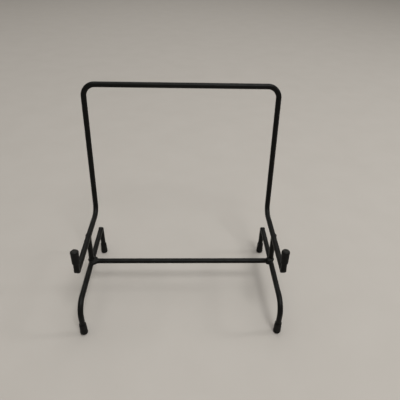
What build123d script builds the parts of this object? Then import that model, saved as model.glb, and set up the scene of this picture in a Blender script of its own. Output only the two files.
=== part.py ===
from build123d import *
import os

# Photo album stand of bent round wire, welded together, with push-on vinyl caps.
# Millimetres, +Z up. The origin is on the floor, in the middle of the four feet.
# The album faces -Y and leans back to +Y. Left is -X and right is +X.

# Wire, the same stock throughout
wire_d = 5.0
weld_melt = 0.5          # how far a butted wire end sinks into the wire it meets

# Vinyl caps: a closed tube that grips the wire end and thins towards its open rim
cap_end_d = 7.3
cap_rim_d = 6.3
cap_length = 12.7
cap_end_wall = 2.0
cap_end_round = 2.0
cap_rim_round = 0.3

# Base: two runners with legs, joined by a crossbar
runner_spacing = 178.0
leg_spacing = 111.0
runner_z = 34.5
rear_bend_r = 3.0
front_bend_r = 13.0
crossbar_y = 3.25
post_head_out = 1.0      # how far outside an arm's centre line its post meets it

# Back frame: hooks, level arms, leaning uprights and a top bar
arm_spacing = 174.5
arm_z = 68.5
arm_length = 87.0
arm_front_y = -47.2
lean_deg = 7.5           # the uprights and the hooks lean back by the same angle
upright_length = 127.0
hook_length = 22.0       # from the arm's centre line to the tip of the hook's cap
hook_bend_r = 3.0
upright_bend_r = 10.0
top_corner_r = 10.5

# Weld beads, each a rounded puddle of metal at the foot of a butted wire
crossbar_weld_r = 3.9
post_foot_weld_r = 3.4
post_head_weld_r = 3.2

# Worked out from the sizes above
wire_r = wire_d / 2
runner_x = runner_spacing / 2
leg_y = leg_spacing / 2
arm_x = arm_spacing / 2
arm_under = (wire_r**2 - post_head_out**2) ** 0.5
upright_foot_y = arm_front_y + arm_length
lean = Vector(0, 0, 1).rotate(Axis.X, -lean_deg)
sides = {"left": -1, "right": 1}


def bent_wire(points, radii):
    """One length of round wire, bent at each inner point to the radius given for it."""
    path = FilletPolyline(*points, radius=radii)
    return sweep(Plane(path @ 0, z_dir=path % 0) * Circle(wire_r), path=path)


def straight_wire(start, end):
    """One straight length of round wire with square-cut ends."""
    axis = Vector(*end) - Vector(*start)
    wire = Cylinder(wire_r, axis.length, align=(Align.CENTER, Align.CENTER, Align.MIN))
    return Plane(start, z_dir=axis) * wire


def vinyl_cap(tip, inward):
    """A cap whose closed end is at tip, with its bore opening along inward."""
    on_end = (Align.CENTER, Align.CENTER, Align.MIN)
    shell = Cone(cap_end_d / 2, cap_rim_d / 2, cap_length, align=on_end)
    shell = fillet(shell.edges().filter_by(GeomType.CIRCLE).sort_by(Axis.Z)[0], cap_end_round)
    shell = fillet(shell.edges().filter_by(GeomType.CIRCLE).sort_by(Axis.Z)[-1], cap_rim_round)
    bore = Pos(0, 0, cap_end_wall) * Cylinder(wire_r, cap_length, align=on_end)
    return Plane(tip, z_dir=inward) * (shell - bore)


# The back frame is bent from one wire, from the left hook's tip round to the right hook's tip.
hook_wire = lean * (hook_length - cap_end_wall)
half_frame = [
    Vector(arm_x, arm_front_y, arm_z) + hook_wire,
    Vector(arm_x, arm_front_y, arm_z),
    Vector(arm_x, upright_foot_y, arm_z),
    Vector(arm_x, upright_foot_y, arm_z) + lean * upright_length,
]
left_half = [Vector(-point.X, point.Y, point.Z) for point in half_frame]
frame_radii = [hook_bend_r, upright_bend_r, top_corner_r]
back_frame = bent_wire(left_half + half_frame[::-1], frame_radii + frame_radii[::-1])
nodes = {"back_frame": back_frame}

# Each runner is a staple of wire: tight bend at the rear leg, easy bend at the front leg.
for side, sign in sides.items():
    x = sign * runner_x
    runner_points = [
        (x, leg_y, cap_end_wall),
        (x, leg_y, runner_z),
        (x, -leg_y, runner_z),
        (x, -leg_y, cap_end_wall),
    ]
    nodes[f"{side}_runner"] = bent_wire(runner_points, [rear_bend_r, front_bend_r])

# The crossbar butts against the inner sides of the runners.
crossbar_end = runner_x - wire_r + weld_melt
crossbar = straight_wire((-crossbar_end, crossbar_y, runner_z), (crossbar_end, crossbar_y, runner_z))
crossbar -= nodes["left_runner"] + nodes["right_runner"]
nodes["crossbar"] = crossbar

# Each post stands on a runner, over the crossbar's end, and leans in to carry an arm of the back frame.
for side, sign in sides.items():
    runner = nodes[f"{side}_runner"]
    foot = (sign * runner_x, crossbar_y, runner_z + wire_r - weld_melt)
    head = (sign * (arm_x + post_head_out), crossbar_y, arm_z - arm_under + weld_melt)
    post = straight_wire(foot, head) - runner - crossbar - back_frame
    nodes[f"{side}_post"] = post

    # A bead of weld closes each joint: crossbar to runner, post to runner, post to arm.
    inner_x = sign * (runner_x - wire_r - weld_melt)
    crossbar_weld = Pos(inner_x, crossbar_y, runner_z) * Sphere(crossbar_weld_r)
    crossbar_weld = crossbar_weld - runner - crossbar - post
    foot_weld = Pos(*foot) * Sphere(post_foot_weld_r)
    foot_weld = foot_weld - runner - crossbar - post - crossbar_weld
    head_weld = Pos(*head) * Sphere(post_head_weld_r)
    head_weld = head_weld - back_frame - post
    nodes[f"{side}_crossbar_weld"] = crossbar_weld
    nodes[f"{side}_post_foot_weld"] = foot_weld
    nodes[f"{side}_post_head_weld"] = head_weld

# Caps cover the hook tips, and all four feet so that the stand rests level on vinyl.
for side, sign in sides.items():
    hook_tip = Vector(sign * arm_x, arm_front_y, arm_z) + lean * hook_length
    nodes[f"{side}_hook_cap"] = vinyl_cap(hook_tip, lean * -1)
    for end, y in {"front": -leg_y, "rear": leg_y}.items():
        nodes[f"{end}_{side}_foot_cap"] = vinyl_cap((sign * runner_x, y, 0), (0, 0, 1))

os.makedirs("parts", exist_ok=True)
for name, shape in nodes.items():
    shape.label = name
    export_step(shape, f"parts/{name}.step")
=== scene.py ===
import math

import bpy
from mathutils import Matrix, Vector, noise


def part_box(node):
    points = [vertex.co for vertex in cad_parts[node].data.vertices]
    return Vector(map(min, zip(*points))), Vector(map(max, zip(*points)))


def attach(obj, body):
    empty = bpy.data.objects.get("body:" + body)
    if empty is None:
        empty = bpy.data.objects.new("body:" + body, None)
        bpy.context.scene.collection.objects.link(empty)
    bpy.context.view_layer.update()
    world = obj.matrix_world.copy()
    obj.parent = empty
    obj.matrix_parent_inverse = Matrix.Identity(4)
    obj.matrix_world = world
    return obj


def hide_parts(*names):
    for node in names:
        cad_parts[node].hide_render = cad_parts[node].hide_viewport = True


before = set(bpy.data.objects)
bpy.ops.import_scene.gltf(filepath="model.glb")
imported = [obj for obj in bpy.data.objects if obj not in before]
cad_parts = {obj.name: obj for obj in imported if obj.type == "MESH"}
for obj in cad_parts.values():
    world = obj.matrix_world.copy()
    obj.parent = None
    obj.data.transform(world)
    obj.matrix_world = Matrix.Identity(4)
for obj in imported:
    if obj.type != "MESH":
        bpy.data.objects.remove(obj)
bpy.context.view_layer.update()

# Back frame. One length of round steel wire, cold bent into hook, arm, upright and top bar, then
# down the other side to the second hook. The sharp bends are squared and flattened on the outside.
# It is welded to the posts below its arms and coated with black satin powder after that.
back_low, back_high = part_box("back_frame")
crossbar_low, crossbar_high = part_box("crossbar")
wire_radius = (crossbar_high.z - crossbar_low.z) / 2
wire_sides = 40
ring_gap = 0.004
bend_step = math.radians(6)
bend_flattening = 0.06
bend_squareness = 3.0
crease_angle = math.radians(60)

lean = math.radians(7.5)
hook_length = 0.022
hook_bend = 0.003
upright_bend = 0.010
top_corner_bend = 0.0105
cap_end_wall = 0.002

coat_black = (0.0045, 0.0045, 0.0040, 1)
coat_roughness = (0.34, 0.48)
coat_shine = 0.12
gloss_patch = 0.006
wire_peel_size = 0.0016
peel_height = 0.00006
grain_size = 0.00035
grain_height = 0.00001
# Paler grey for upward faces: partly settled dust, partly a painted highlight of light falling from
# above.
dust_and_top_light_grey = (0.045, 0.044, 0.040, 1)
dust_and_top_light_patch = 0.009
dust_and_top_light_swing = (0.35, 0.75)
dust_and_top_light_slope = 0.25
most_dust_and_top_light = 0.25
patch_swing = (0.3, 0.7)


def patches(tree, size, detail):
    """Soft random patches of about the given size, as a value that swings round a half."""
    place = tree.nodes.new("ShaderNodeTexCoord")
    cloud = tree.nodes.new("ShaderNodeTexNoise")
    cloud.inputs["Scale"].default_value = 1 / size
    cloud.inputs["Detail"].default_value = detail
    tree.links.new(place.outputs["Object"], cloud.inputs["Vector"])
    return cloud.outputs["Fac"]


def ranged(tree, value, given, wanted):
    """A value carried from one range to another and held at the ends."""
    ramp = tree.nodes.new("ShaderNodeMapRange")
    tree.links.new(value, ramp.inputs["Value"])
    ramp.inputs["From Min"].default_value, ramp.inputs["From Max"].default_value = given
    ramp.inputs["To Min"].default_value, ramp.inputs["To Max"].default_value = wanted
    return ramp.outputs["Result"]


def times(tree, first, second):
    """Two values multiplied."""
    product = tree.nodes.new("ShaderNodeMath")
    product.operation = "MULTIPLY"
    tree.links.new(first, product.inputs[0])
    tree.links.new(second, product.inputs[1])
    return product.outputs["Value"]


def blended(tree, share, first, second):
    """One colour turning into another by a share from 0 to 1."""
    mix = tree.nodes.new("ShaderNodeMix")
    mix.data_type = "RGBA"
    tree.links.new(share, mix.inputs["Factor"])
    mix.inputs["A"].default_value = first
    mix.inputs["B"].default_value = second
    return mix.outputs["Result"]


def raised(tree, skin, coarse, coarse_height, fine, fine_height):
    """Two scales of surface relief, in metres high, laid on a shader."""
    low_relief = tree.nodes.new("ShaderNodeBump")
    high_relief = tree.nodes.new("ShaderNodeBump")
    low_relief.inputs["Distance"].default_value = coarse_height
    high_relief.inputs["Distance"].default_value = fine_height
    tree.links.new(coarse, low_relief.inputs["Height"])
    tree.links.new(fine, high_relief.inputs["Height"])
    tree.links.new(low_relief.outputs["Normal"], high_relief.inputs["Normal"])
    tree.links.new(high_relief.outputs["Normal"], skin.inputs["Normal"])


def facing_up(tree):
    """How much the surface faces up, where dust settles and painted top light goes, from 0 to 1."""
    shape = tree.nodes.new("ShaderNodeNewGeometry")
    parts = tree.nodes.new("ShaderNodeSeparateXYZ")
    tree.links.new(shape.outputs["Normal"], parts.inputs["Vector"])
    return ranged(tree, parts.outputs["Z"], (dust_and_top_light_slope, 1.0), (0.0, 1.0))


def powder_coat(name, peel_size):
    """Black satin powder coat: orange peel, fine grain, uneven gloss and a breath of paler grey on top,
    partly dust and partly painted top light.
    """
    finish = bpy.data.materials.new(name)
    finish.use_nodes = True
    tree = finish.node_tree
    coat = tree.nodes["Principled BSDF"]
    # Upward faces turn paler grey: partly dust, partly painted top light.
    settled_dust_and_top_light = ranged(tree, patches(tree, dust_and_top_light_patch, detail=5), dust_and_top_light_swing, (0.0, most_dust_and_top_light))
    dust_and_top_light = times(tree, facing_up(tree), settled_dust_and_top_light)
    tree.links.new(blended(tree, dust_and_top_light, coat_black, dust_and_top_light_grey), coat.inputs["Base Color"])
    gloss = ranged(tree, patches(tree, gloss_patch, detail=3), patch_swing, coat_roughness)
    tree.links.new(gloss, coat.inputs["Roughness"])
    coat.inputs["Specular IOR Level"].default_value = coat_shine
    peel = patches(tree, peel_size, detail=1)
    grain = patches(tree, grain_size, detail=2)
    raised(tree, coat, peel, peel_height, grain, grain_height)
    return finish


def closed_skin(start, rings, end):
    """Points and faces of a closed skin: a point at each end and rings of points between them."""
    sides = len(rings[0])
    points = [start] + [point for ring in rings for point in ring] + [end]
    last = len(points) - 1
    faces = []
    for i in range(sides):
        j = (i + 1) % sides
        faces.append((0, 1 + j, 1 + i))
        faces.append((last - sides + i, last - sides + j, last))
        for first in range(1, last - sides, sides):
            faces.append((first + i, first + j, first + sides + j, first + sides + i))
    return points, faces


def dressed(name, skin, finish, node):
    """A mesh piece that stands for one node of the model and takes that node's finish."""
    points, faces = skin
    mesh = bpy.data.meshes.new(name)
    mesh.from_pydata(points, [], faces)
    mesh.polygons.foreach_set("use_smooth", [True] * len(faces))
    mesh.set_sharp_from_angle(angle=crease_angle)
    mesh.materials.append(finish)
    piece = bpy.data.objects.new(name, mesh)
    bpy.context.scene.collection.objects.link(piece)
    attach(piece, "root")
    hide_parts(node)
    return piece


def straight_run(start, end):
    """Stations along a straight run of wire, without its two ends."""
    along = (end - start).normalized()
    count = max(2, round((end - start).length / ring_gap))
    return [(start.lerp(end, i / count), along, Vector(), 0.0) for i in range(1, count)]


def bend_arc(before, corner, after, bend):
    """Stations round one bend: place, direction, the way out of the bend and how strained it is."""
    into = (corner - before).normalized()
    out = (after - corner).normalized()
    turn = into.angle(out)
    inward = (out - into * into.dot(out)).normalized()
    centre = corner - into * bend * math.tan(turn / 2) + inward * bend
    count = math.ceil(turn / bend_step)
    stations = []
    for i in range(count + 1):
        angle = turn * i / count
        along = into * math.cos(angle) + inward * math.sin(angle)
        outward = into * math.sin(angle) - inward * math.cos(angle)
        strain = (wire_radius / bend) ** 2 * math.sin(math.pi * i / count)
        stations.append((centre + outward * bend, along, outward, strain))
    return stations


def wire_section(along, across, outward, strain):
    """The wire's outline at a station: round, or squared and flattened outside where it is strained."""
    flank = along.cross(outward)
    sharper = 2 / (2 + bend_squareness * strain)
    section = []
    for i in range(wire_sides):
        angle = 2 * math.pi * i / wire_sides
        offset = across * math.cos(angle) + along.cross(across) * math.sin(angle)
        out = offset.dot(outward)
        aside = offset.dot(flank)
        if out > 0:
            flattened = out ** sharper * (1 - bend_flattening * strain)
            squared = math.copysign(abs(aside) ** sharper, aside)
            offset = outward * flattened + flank * squared
        section.append(offset * wire_radius)
    return section


def bent_wire(name, corners, bends, node):
    """A wire through the corners, bent at each inner one, with square-cut ends."""
    arcs = [bend_arc(*each) for each in zip(corners, corners[1:], corners[2:], bends)]
    stations = [(corners[0], (corners[1] - corners[0]).normalized(), Vector(), 0.0)]
    last = (corners[-1], (corners[-1] - corners[-2]).normalized(), Vector(), 0.0)
    for stretch in arcs + [[last]]:
        stations += straight_run(stations[-1][0], stretch[0][0]) + stretch
    across = stations[0][1].orthogonal()
    rings = []
    for centre, along, outward, strain in stations:
        across = (across - along * across.dot(along)).normalized()
        rings.append([centre + offset for offset in wire_section(along, across, outward, strain)])
    return dressed(name, closed_skin(corners[0], rings, corners[-1]), wire_coat, node)


wire_coat = powder_coat("satin_black_coat", wire_peel_size)
lean_way = Vector((0, math.sin(lean), math.cos(lean)))
arm_x = back_high.x - wire_radius
arm_z = back_low.z + wire_radius
arm_front_y = back_low.y + wire_radius + hook_bend * (1 - math.tan((math.pi / 2 + lean) / 2))
top_corner = Vector((arm_x, back_high.y - wire_radius, back_high.z - wire_radius))
upright_foot = top_corner - lean_way * (top_corner.z - arm_z) / lean_way.z
hook_foot = Vector((arm_x, arm_front_y, arm_z))
half_frame = [hook_foot + lean_way * (hook_length - cap_end_wall), hook_foot, upright_foot, top_corner]
left_half = [Vector((-corner.x, corner.y, corner.z)) for corner in half_frame]
half_bends = [hook_bend, upright_bend, top_corner_bend]
bent_wire("back_frame_wire", left_half + half_frame[::-1], half_bends + half_bends[::-1], "back_frame")

# Runners. Two staples of the same wire, each with a rear leg, a level run and a front leg.
# The rear bend is sharp and the front one easy. They carry everything else and are coated with it.
rear_bend = 0.003
front_bend = 0.013
on_runner = {}
for side in ("left", "right"):
    runner_low, runner_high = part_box(f"{side}_runner")
    runner_x = (runner_low.x + runner_high.x) / 2
    runner_z = runner_high.z - wire_radius
    leg_y = runner_high.y - wire_radius
    on_runner[side] = Vector((runner_x, 0, runner_z))
    staple = [
        Vector((runner_x, leg_y, runner_low.z)),
        Vector((runner_x, leg_y, runner_z)),
        Vector((runner_x, -leg_y, runner_z)),
        Vector((runner_x, -leg_y, runner_low.z)),
    ]
    bent_wire(f"{side}_runner_wire", staple, [rear_bend, front_bend], f"{side}_runner")

# Crossbar. A straight cut of the same wire between the two runners.
# Its ends butt against the runners' inner sides and are melted in by the weld.
crossbar_y = (crossbar_low.y + crossbar_high.y) / 2
crossbar_z = (crossbar_low.z + crossbar_high.z) / 2
crossbar_ends = [Vector((x, crossbar_y, crossbar_z)) for x in (crossbar_low.x, crossbar_high.x)]
bent_wire("crossbar_wire", crossbar_ends, [], "crossbar")

# Posts. Two short straight cuts of the same wire. Each stands on a runner, over the crossbar's
# end, and leans in a little to carry an arm of the back frame. Both of its ends are melted in.
weld_melt = 0.0005
post_head_out = 0.001
arm_underside = math.sqrt(wire_radius ** 2 - post_head_out ** 2)
post_ends = {}
for side, sign in (("left", -1), ("right", 1)):
    foot = on_runner[side] + Vector((0, crossbar_y, wire_radius - weld_melt))
    head = Vector((sign * (arm_x + post_head_out), crossbar_y, arm_z - arm_underside + weld_melt))
    post_ends[side] = [foot, head]
    bent_wire(f"{side}_post_wire", [foot, head], [], f"{side}_post")

# Weld beads. Puddles of steel run round each butted wire by hand and rippled where they froze.
# The crossbar's left one is a smooth fillet drawn out along the runner, and its right one a lump
# laid on from the front, in the corner under the post. The coat covers them all.
bead_rows = 80
bead_columns = 160
bead_lead = 0.28
bead_ripples = 17
ripple_depth = 0.016
ripple_slant = 2.5
ripple_waver = 3
lump_depth = 0.12
lump_grain = 1.6
run_sharpness = 4
weld_sink = 0.0004
toe_bite = 0.05
toe_share_shown = 0.55
toe_tail = 0.0013
least_slope = 1e-6
weld_peel_size = 0.0010
seed_step = 20
crossbar_bead = {
    "left": {"size": 0.0028, "toe": 0.0040, "run": 0.8, "shift": Vector((0, 0, 0.0005))},
    "right": {"size": 0.0038, "toe": 0.0011, "run": 0.0, "shift": Vector((0.0009, -0.0016, 0.0014))},
}
post_foot_bead = {"size": 0.0032, "toe": 0.0008, "run": 0.0, "shift": Vector()}
post_head_bead = {"size": 0.0024, "toe": 0.0012, "run": 0.0, "shift": Vector()}
weld_coat = powder_coat("weld_black_coat", weld_peel_size)


def reach_in_wire(start, way, on_axis, axis):
    """How far a ray from inside a long round wire runs before it comes out of the wire's side."""
    offset = start - on_axis
    offset = offset - axis * offset.dot(axis)
    slope = way - axis * way.dot(axis)
    steep = max(slope.length_squared, least_slope)
    lead = offset.dot(slope)
    return (math.sqrt(lead * lead + steep * (wire_radius ** 2 - offset.length_squared)) - lead) / steep


def reach_in_ball(middle, way, radius):
    """How far a ray from the origin runs before it comes out of a ball round the middle."""
    lead = way.dot(middle)
    return lead + math.sqrt(max(0, lead * lead + radius * radius - middle.length_squared))


def weld_bead(node, root, joint, butted_axis, on_through, seed, size, toe, run, shift):
    """A bead round a wire that butts against a wire along Y, drawn from its root, with toes on both."""
    middle = joint + shift - root
    longest_gap = toe_share_shown * toe + toe_tail
    around = butted_axis.orthogonal().normalized()
    through_axis = Vector((0, 1, 0))
    rings = []
    for row in range(bead_rows + 1):
        tilt = math.pi * row / bead_rows
        ring = []
        for column in range(bead_columns):
            turn = 2 * math.pi * column / bead_columns
            outward = around * math.cos(turn) + around.cross(butted_axis) * math.sin(turn)
            way = butted_axis * math.cos(tilt) + outward * math.sin(tilt)
            bulge = (way * reach_in_ball(middle, way, size) - middle).normalized()
            lead = bulge.dot(butted_axis)
            lump = noise.noise(bulge * lump_grain + Vector((seed, 0, 0)))
            wave = bead_ripples * turn + ripple_slant * lead + ripple_waver * lump
            ripple = math.sin(wave) * (1 - lead * lead)
            shape = 1 + bead_lead * lead + lump_depth * lump + ripple_depth * ripple
            drawn_out = 1 + run * bulge.y ** run_sharpness
            radius = reach_in_ball(middle, way, size * shape * drawn_out)
            butted = reach_in_wire(root, way, joint, butted_axis) if math.cos(tilt) > 0 else wire_radius
            through = reach_in_wire(root, way, on_through, through_axis)
            gap = max(-toe, min(longest_gap, max(butted, through) - radius))
            rise = gap if gap > toe else (gap + toe) ** 2 / (4 * toe)
            ring.append(root + way * (radius + rise - toe_bite * toe))
        rings.append(ring)
    skin = closed_skin(rings[0][0], rings[1:-1], rings[-1][0])
    return dressed(node + "_bead", skin, weld_coat, node)


for side, sign, seed in (("left", -1, 3.1), ("right", 1, 8.7)):
    inward = Vector((-sign, 0, 0))
    runner = on_runner[side]
    root = runner + Vector((0, crossbar_y, 0))
    joint = root + inward * (wire_radius - weld_sink)
    weld_bead(f"{side}_crossbar_weld", root, joint, inward, runner, seed, **crossbar_bead[side])
    foot, head = post_ends[side]
    up = (head - foot).normalized()
    joint = foot - up * weld_sink
    seed += seed_step
    weld_bead(f"{side}_post_foot_weld", root, joint, up, runner, seed, **post_foot_bead)
    joint = head + up * weld_sink
    arm = Vector((sign * arm_x, 0, arm_z))
    seed += seed_step
    weld_bead(f"{side}_post_head_weld", joint, joint, -up, arm, seed, **post_head_bead)

# Vinyl caps. Soft black tubes with one closed end, dip moulded and pushed over the wire ends:
# two on the hook tips and four under the feet. The closed end is thick, flat and paler, partly scuffed
# and partly a painted highlight, and the wall thins towards the rim, which is rounded and not quite
# level where the dip ran off.
foot_cap_low, foot_cap_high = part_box("front_right_foot_cap")
cap_radius = (foot_cap_high.x - foot_cap_low.x) / 2
cap_length = foot_cap_high.z - foot_cap_low.z
cap_rim_radius = 0.00315
cap_sides = 48
round_steps = 6
end_round = 0.0020
end_dish = 0.00018
end_rings = (0.2, 0.4, 0.6, 0.8)
wall_rings = (0.2, 0.4, 0.6, 0.8, 0.92)
wall_slack = 0.012
slack_inward = 0.5
slack_grain = 1.3
slack_grain_along = 150
rim_round = 0.00035
rim_waver = 0.0003
rim_waver_grain = 0.9
rim_waver_seed = 5
rim_zone = 0.4
vinyl_black = (0.0055, 0.0055, 0.0050, 1)
vinyl_roughness = (0.46, 0.62)
vinyl_shine = 0.13
vinyl_gloss_patch = 0.003
dip_mark_size = 0.0022
dip_mark_height = 0.00005
skin_grain_size = 0.0003
skin_grain_height = 0.000012
# Paler grey at the closed end: partly scuffing, partly a painted highlight of light on the end.
scuff_and_highlight_grey = (0.033, 0.032, 0.028, 1)
scuff_and_highlight_depth = 0.0015
scuff_and_highlight_patch = 0.0011
scuff_and_highlight_swing = (0.35, 0.65)
scuff_and_highlight_share = (0.2, 0.9)
cap_seeds = {
    "left_hook_cap": 10,
    "right_hook_cap": 12,
    "front_left_foot_cap": 21,
    "rear_left_foot_cap": 20,
    "front_right_foot_cap": 23,
    "rear_right_foot_cap": 22,
}


def soft_vinyl(name):
    """Dull black vinyl with a fine skin, faint dip marks and a paler end, partly scuffed and partly a
    painted highlight.
    """
    finish = bpy.data.materials.new(name)
    finish.use_nodes = True
    tree = finish.node_tree
    skin = tree.nodes["Principled BSDF"]
    scuff_and_highlight_attribute = tree.nodes.new("ShaderNodeAttribute")
    scuff_and_highlight_attribute.attribute_name = "end_scuff_and_highlight"
    # The closed end turns paler: partly scuffing, partly a painted highlight.
    rubbed_and_highlit = ranged(tree, patches(tree, scuff_and_highlight_patch, detail=6), scuff_and_highlight_swing, scuff_and_highlight_share)
    scuff_and_highlight = times(tree, scuff_and_highlight_attribute.outputs["Fac"], rubbed_and_highlit)
    tree.links.new(blended(tree, scuff_and_highlight, vinyl_black, scuff_and_highlight_grey), skin.inputs["Base Color"])
    gloss = ranged(tree, patches(tree, vinyl_gloss_patch, detail=4), patch_swing, vinyl_roughness)
    tree.links.new(gloss, skin.inputs["Roughness"])
    skin.inputs["Specular IOR Level"].default_value = vinyl_shine
    dip_marks = patches(tree, dip_mark_size, detail=2)
    grain = patches(tree, skin_grain_size, detail=3)
    raised(tree, skin, dip_marks, dip_mark_height, grain, skin_grain_height)
    return finish


def quarter_round(middle_depth, middle_radius, round_radius, start):
    """Outline points round a quarter circle, as pairs of depth from the tip and radius."""
    outline = []
    for i in range(round_steps + 1):
        angle = start + math.pi / 2 * i / round_steps
        depth = middle_depth - round_radius * math.cos(angle)
        outline.append((depth, middle_radius + round_radius * math.sin(angle)))
    return outline


def cap_outline():
    """Half of the cap's section, from the middle of its closed end round the rim into its bore."""
    end_flat = cap_radius - end_round
    taper = cap_radius - cap_rim_radius
    outline = [(end_dish * (1 - share ** 2), end_flat * share) for share in end_rings]
    outline += quarter_round(end_round, end_flat, end_round, 0)
    outline += [(cap_length * share, cap_radius - taper * share) for share in wall_rings]
    outline += quarter_round(cap_length - rim_round, cap_rim_radius - rim_round, rim_round, math.pi / 2)
    outline += [(cap_length, wire_radius + rim_round / 2), (cap_length - rim_round, wire_radius)]
    return outline + [(cap_end_wall, wire_radius)]


def vinyl_cap(node, tip, inward):
    """A closed-end tube, lathed from its outline and nudged out of true as soft vinyl is."""
    seed = cap_seeds[node]
    across = inward.orthogonal().normalized()
    rings = []
    # Share of paler colour at each point, fading from the closed end: partly scuffing, partly a painted
    # highlight.
    end_scuff_and_highlight = [1.0]
    for depth, radius in cap_outline():
        near_rim = max(0, depth / cap_length - (1 - rim_zone)) / rim_zone
        off_end = min(1, depth / end_round)
        ring = []
        for i in range(cap_sides):
            angle = 2 * math.pi * i / cap_sides
            way = across * math.cos(angle) + inward.cross(across) * math.sin(angle)
            rim_noise = noise.noise(way * rim_waver_grain + Vector((seed, rim_waver_seed, 0)))
            dip = abs(rim_noise) * rim_waver * near_rim
            wall_noise = noise.noise(way * slack_grain + Vector((seed, 0, depth * slack_grain_along)))
            slack = wall_slack * off_end * (wall_noise - slack_inward)
            swell = 1 + slack if radius > wire_radius else 1
            ring.append(tip + inward * (depth - dip) + way * radius * swell)
            end_scuff_and_highlight.append(max(0, 1 - depth / scuff_and_highlight_depth))
        rings.append(ring)
    end_scuff_and_highlight.append(0.0)
    skin = closed_skin(tip + inward * end_dish, rings, tip + inward * cap_end_wall)
    cap = dressed(node + "_vinyl", skin, cap_vinyl, node)
    cap.data.attributes.new("end_scuff_and_highlight", "FLOAT", "POINT").data.foreach_set("value", end_scuff_and_highlight)
    return cap


cap_vinyl = soft_vinyl("soft_black_vinyl")
for side, sign in (("left", -1), ("right", 1)):
    hook_tip = Vector((sign * arm_x, arm_front_y, arm_z)) + lean_way * hook_length
    vinyl_cap(f"{side}_hook_cap", hook_tip, -lean_way)
    for end in ("front", "rear"):
        node = f"{end}_{side}_foot_cap"
        low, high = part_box(node)
        foot_tip = Vector(((low.x + high.x) / 2, (low.y + high.y) / 2, low.z))
        vinyl_cap(node, foot_tip, Vector((0, 0, 1)))

# Floor and light. A wide round of pale warm-grey matt paper in a dim even room, under a broad soft
# ceiling light, with a soft lamp behind, a smaller one at the front right and a low one on the right.
floor_radius = 3.0
floor_sides = 96
floor_grey = (0.52, 0.49, 0.45, 1)
floor_shade = (0.505, 0.475, 0.435, 1)
floor_patch = 0.05
floor_roughness = 0.9
floor_shine = 0.1
lamp_target = Vector((0, 0, 0.08))
room_grey = (0.26, 0.25, 0.235, 1)

paper = bpy.data.materials.new("pale_floor_paper")
paper.use_nodes = True
tree = paper.node_tree
sheet = tree.nodes["Principled BSDF"]
mottle = ranged(tree, patches(tree, floor_patch, detail=4), patch_swing, (0.0, 1.0))
tree.links.new(blended(tree, mottle, floor_grey, floor_shade), sheet.inputs["Base Color"])
sheet.inputs["Roughness"].default_value = floor_roughness
sheet.inputs["Specular IOR Level"].default_value = floor_shine
floor_mesh = bpy.data.meshes.new("floor")
rim_angles = [2 * math.pi * i / floor_sides for i in range(floor_sides)]
floor_rim = [(floor_radius * math.cos(angle), floor_radius * math.sin(angle), 0) for angle in rim_angles]
floor_mesh.from_pydata(floor_rim, [], [range(floor_sides)])
floor_mesh.materials.append(paper)
floor = bpy.data.objects.new("floor", floor_mesh)
bpy.context.scene.collection.objects.link(floor)


def soft_lamp(name, place, width, power):
    """A square soft lamp that faces the middle of the stand."""
    light = bpy.data.lights.new(name, "AREA")
    light.size = width
    light.energy = power
    lamp = bpy.data.objects.new(name, light)
    lamp.location = place
    lamp.rotation_euler = (lamp_target - Vector(place)).to_track_quat("-Z", "Y").to_euler()
    bpy.context.scene.collection.objects.link(lamp)


soft_lamp("ceiling_lamp", place=(0.1, 0.1, 2.2), width=2.4, power=19)
soft_lamp("back_lamp", place=(0.0, 1.7, 1.7), width=1.6, power=6)
soft_lamp("front_right_lamp", place=(0.36, -0.72, 1.5), width=0.4, power=9)
soft_lamp("low_right_lamp", place=(1.5, 0.1, 0.85), width=0.25, power=4)
room = bpy.data.worlds.new("dim_room")
room.use_nodes = True
room.node_tree.nodes["Background"].inputs["Color"].default_value = room_grey
bpy.context.scene.world = room
bpy.context.scene.view_settings.view_transform = "Standard"

# Camera. It looks down on the stand from in front, a touch to the right and not quite level.
camera_place = Vector((0.0041, -0.2954, 0.3133))
camera_tilt = math.radians(34.46)
camera_turn = math.radians(2.38)
camera_roll = math.radians(-1.54)
lens = bpy.data.cameras.new("camera")
lens.sensor_width = 36.0
lens.lens = 36.37
lens.clip_start = 0.01
camera = bpy.data.objects.new("camera", lens)
turned = Matrix.Rotation(-camera_turn, 4, "Z") @ Matrix.Rotation(math.pi / 2 - camera_tilt, 4, "X")
camera.matrix_world = Matrix.Translation(camera_place) @ turned @ Matrix.Rotation(-camera_roll, 4, "Z")
bpy.context.scene.collection.objects.link(camera)
bpy.context.scene.camera = camera
